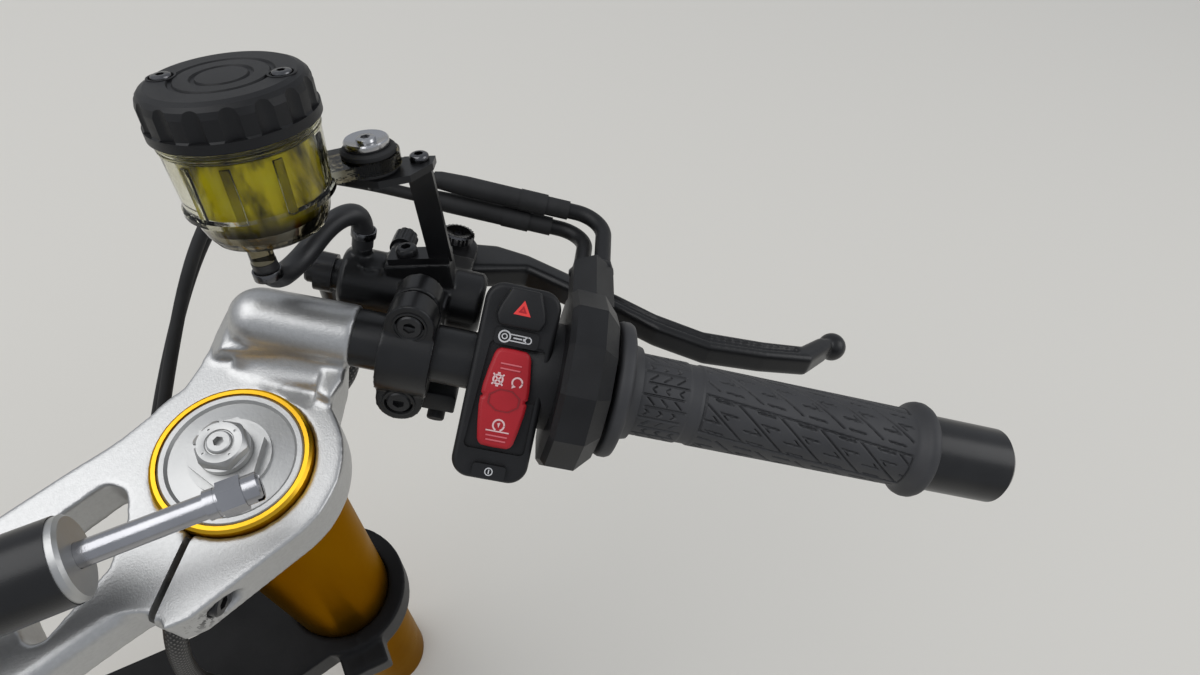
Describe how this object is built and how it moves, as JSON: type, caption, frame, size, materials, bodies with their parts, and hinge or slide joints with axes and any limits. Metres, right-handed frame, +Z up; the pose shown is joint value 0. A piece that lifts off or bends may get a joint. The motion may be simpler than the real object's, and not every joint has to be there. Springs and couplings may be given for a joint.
{
  "type": "motorcycle steering top",
  "caption": "Steering top of a sport motorcycle: two yokes on gold fork tubes, clip-on bars with grips, levers and switches, a brake fluid reservoir and a steering damper.",
  "frame": {"origin": "on the steering axis, at the upper face of the top yoke, which is the top of the stem bore", "axes": "+X to the rider's right, +Y forward, +Z up along the steering axis"},
  "size_m": [0.7716, 0.2508, 0.5399],
  "materials": {
    "cast_silver": "satin silver paint on a casting",
    "black_casting": "semi-matt black",
    "gold_anodised": "gold anodised, satin",
    "machined_silver": "machined, clear anodised",
    "polished_steel": "polished",
    "black_bar": "satin black",
    "black_plastic": "fine grain",
    "red_plastic": "satin",
    "black_rubber": "matt",
    "clear_plastic": "clear",
    "brake_fluid": "yellow liquid",
    "braided_hose": "braided sleeve",
    "bolt_black": "black oxide"
  },
  "bodies": {
    "steering": {"top_yoke": "cast_silver", "lower_yoke": "black_casting", "reservoir_cap": "black_plastic", "reservoir_body": "clear_plastic", "reservoir_fluid": "brake_fluid", "reservoir_bracket": "black_casting", "reservoir_grommet": "black_rubber", "reservoir_bolt": "bolt_black", "reservoir_hose": "black_rubber", "brake_hose": "braided_hose", "brake_banjo": "bolt_black", "throttle_cable_pull": "black_rubber", "throttle_cable_return": "black_rubber", "kill_rocker": "red_plastic", "hazard_button": "black_plastic", "key_pad": "black_plastic", "heat_button": "black_plastic", "signal_switch": "black_plastic", "horn_button": "black_plastic", "menu_pad": "black_plastic", "damper_body": "black_bar", "damper_cap_left": "machined_silver", "damper_cap_right": "machined_silver", "damper_mount": "black_casting", "brake_master": "black_casting", "clutch_perch": "black_casting", "brake_pivot": "bolt_black", "clutch_pivot": "bolt_black", "throttle_housing": "black_plastic", "throttle_elbow_pull": "black_plastic", "throttle_elbow_return": "black_plastic", "throttle_boot_pull": "black_rubber", "throttle_boot_return": "black_rubber", "lever_knob": "bolt_black", "pinch_bolt_right": "bolt_black", "pinch_bolt_left": "bolt_black", "clamp_bolt_upper_right": "bolt_black", "clamp_bolt_upper_left": "bolt_black", "clamp_bolt_lower_right": "bolt_black", "clamp_bolt_lower_left": "bolt_black", "fork_tube_right": "gold_anodised", "fork_tube_left": "gold_anodised", "fork_cap_right": "machined_silver", "fork_cap_left": "machined_silver", "fork_adjuster_right": "machined_silver", "fork_adjuster_left": "machined_silver", "bar_tube_right": "black_bar", "bar_tube_left": "black_bar", "bar_end_right": "black_bar", "bar_end_left": "black_bar", "clamp_cover_right": "black_casting", "clamp_cover_left": "black_casting", "switch_pod_right": "black_plastic", "switch_pod_left": "black_plastic", "grip_left": "black_rubber"},
    "brake_lever_body": {"brake_lever": "black_casting"},
    "clutch_lever_body": {"clutch_lever": "black_casting"},
    "throttle_body": {"grip_right": "black_rubber"},
    "damper_rod_body": {"damper_rod": "polished_steel"}
  },
  "joints": [
    {"name": "brake_lever_pivot", "type": "hinge", "parent": "steering", "child": "brake_lever_body", "pos_m": [0.20602, 0.10262, -0.03113], "axis": [-0.3163, -0.2815, -0.9059], "range_deg": [0, 9], "stiffness_Nm_per_rad": 6, "springref_deg": -5.73},
    {"name": "clutch_lever_pivot", "type": "hinge", "parent": "steering", "child": "clutch_lever_body", "pos_m": [-0.20602, 0.10262, -0.03113], "axis": [-0.3163, 0.2815, 0.9059], "range_deg": [0, 9], "stiffness_Nm_per_rad": 6, "springref_deg": -5.73},
    {"name": "throttle_twist", "type": "hinge", "parent": "steering", "child": "throttle_body", "pos_m": [0.29525, -0.03213, -0.0149], "axis": [0.8391, -0.5284, -0.1288], "range_deg": [0, 70], "stiffness_Nm_per_rad": 0.4, "springref_deg": -22.92},
    {"name": "damper_slide", "type": "slide", "parent": "steering", "child": "damper_rod_body", "axis": [1, 0, 0], "range_m": [-0.03, 0.035]}
  ]
}
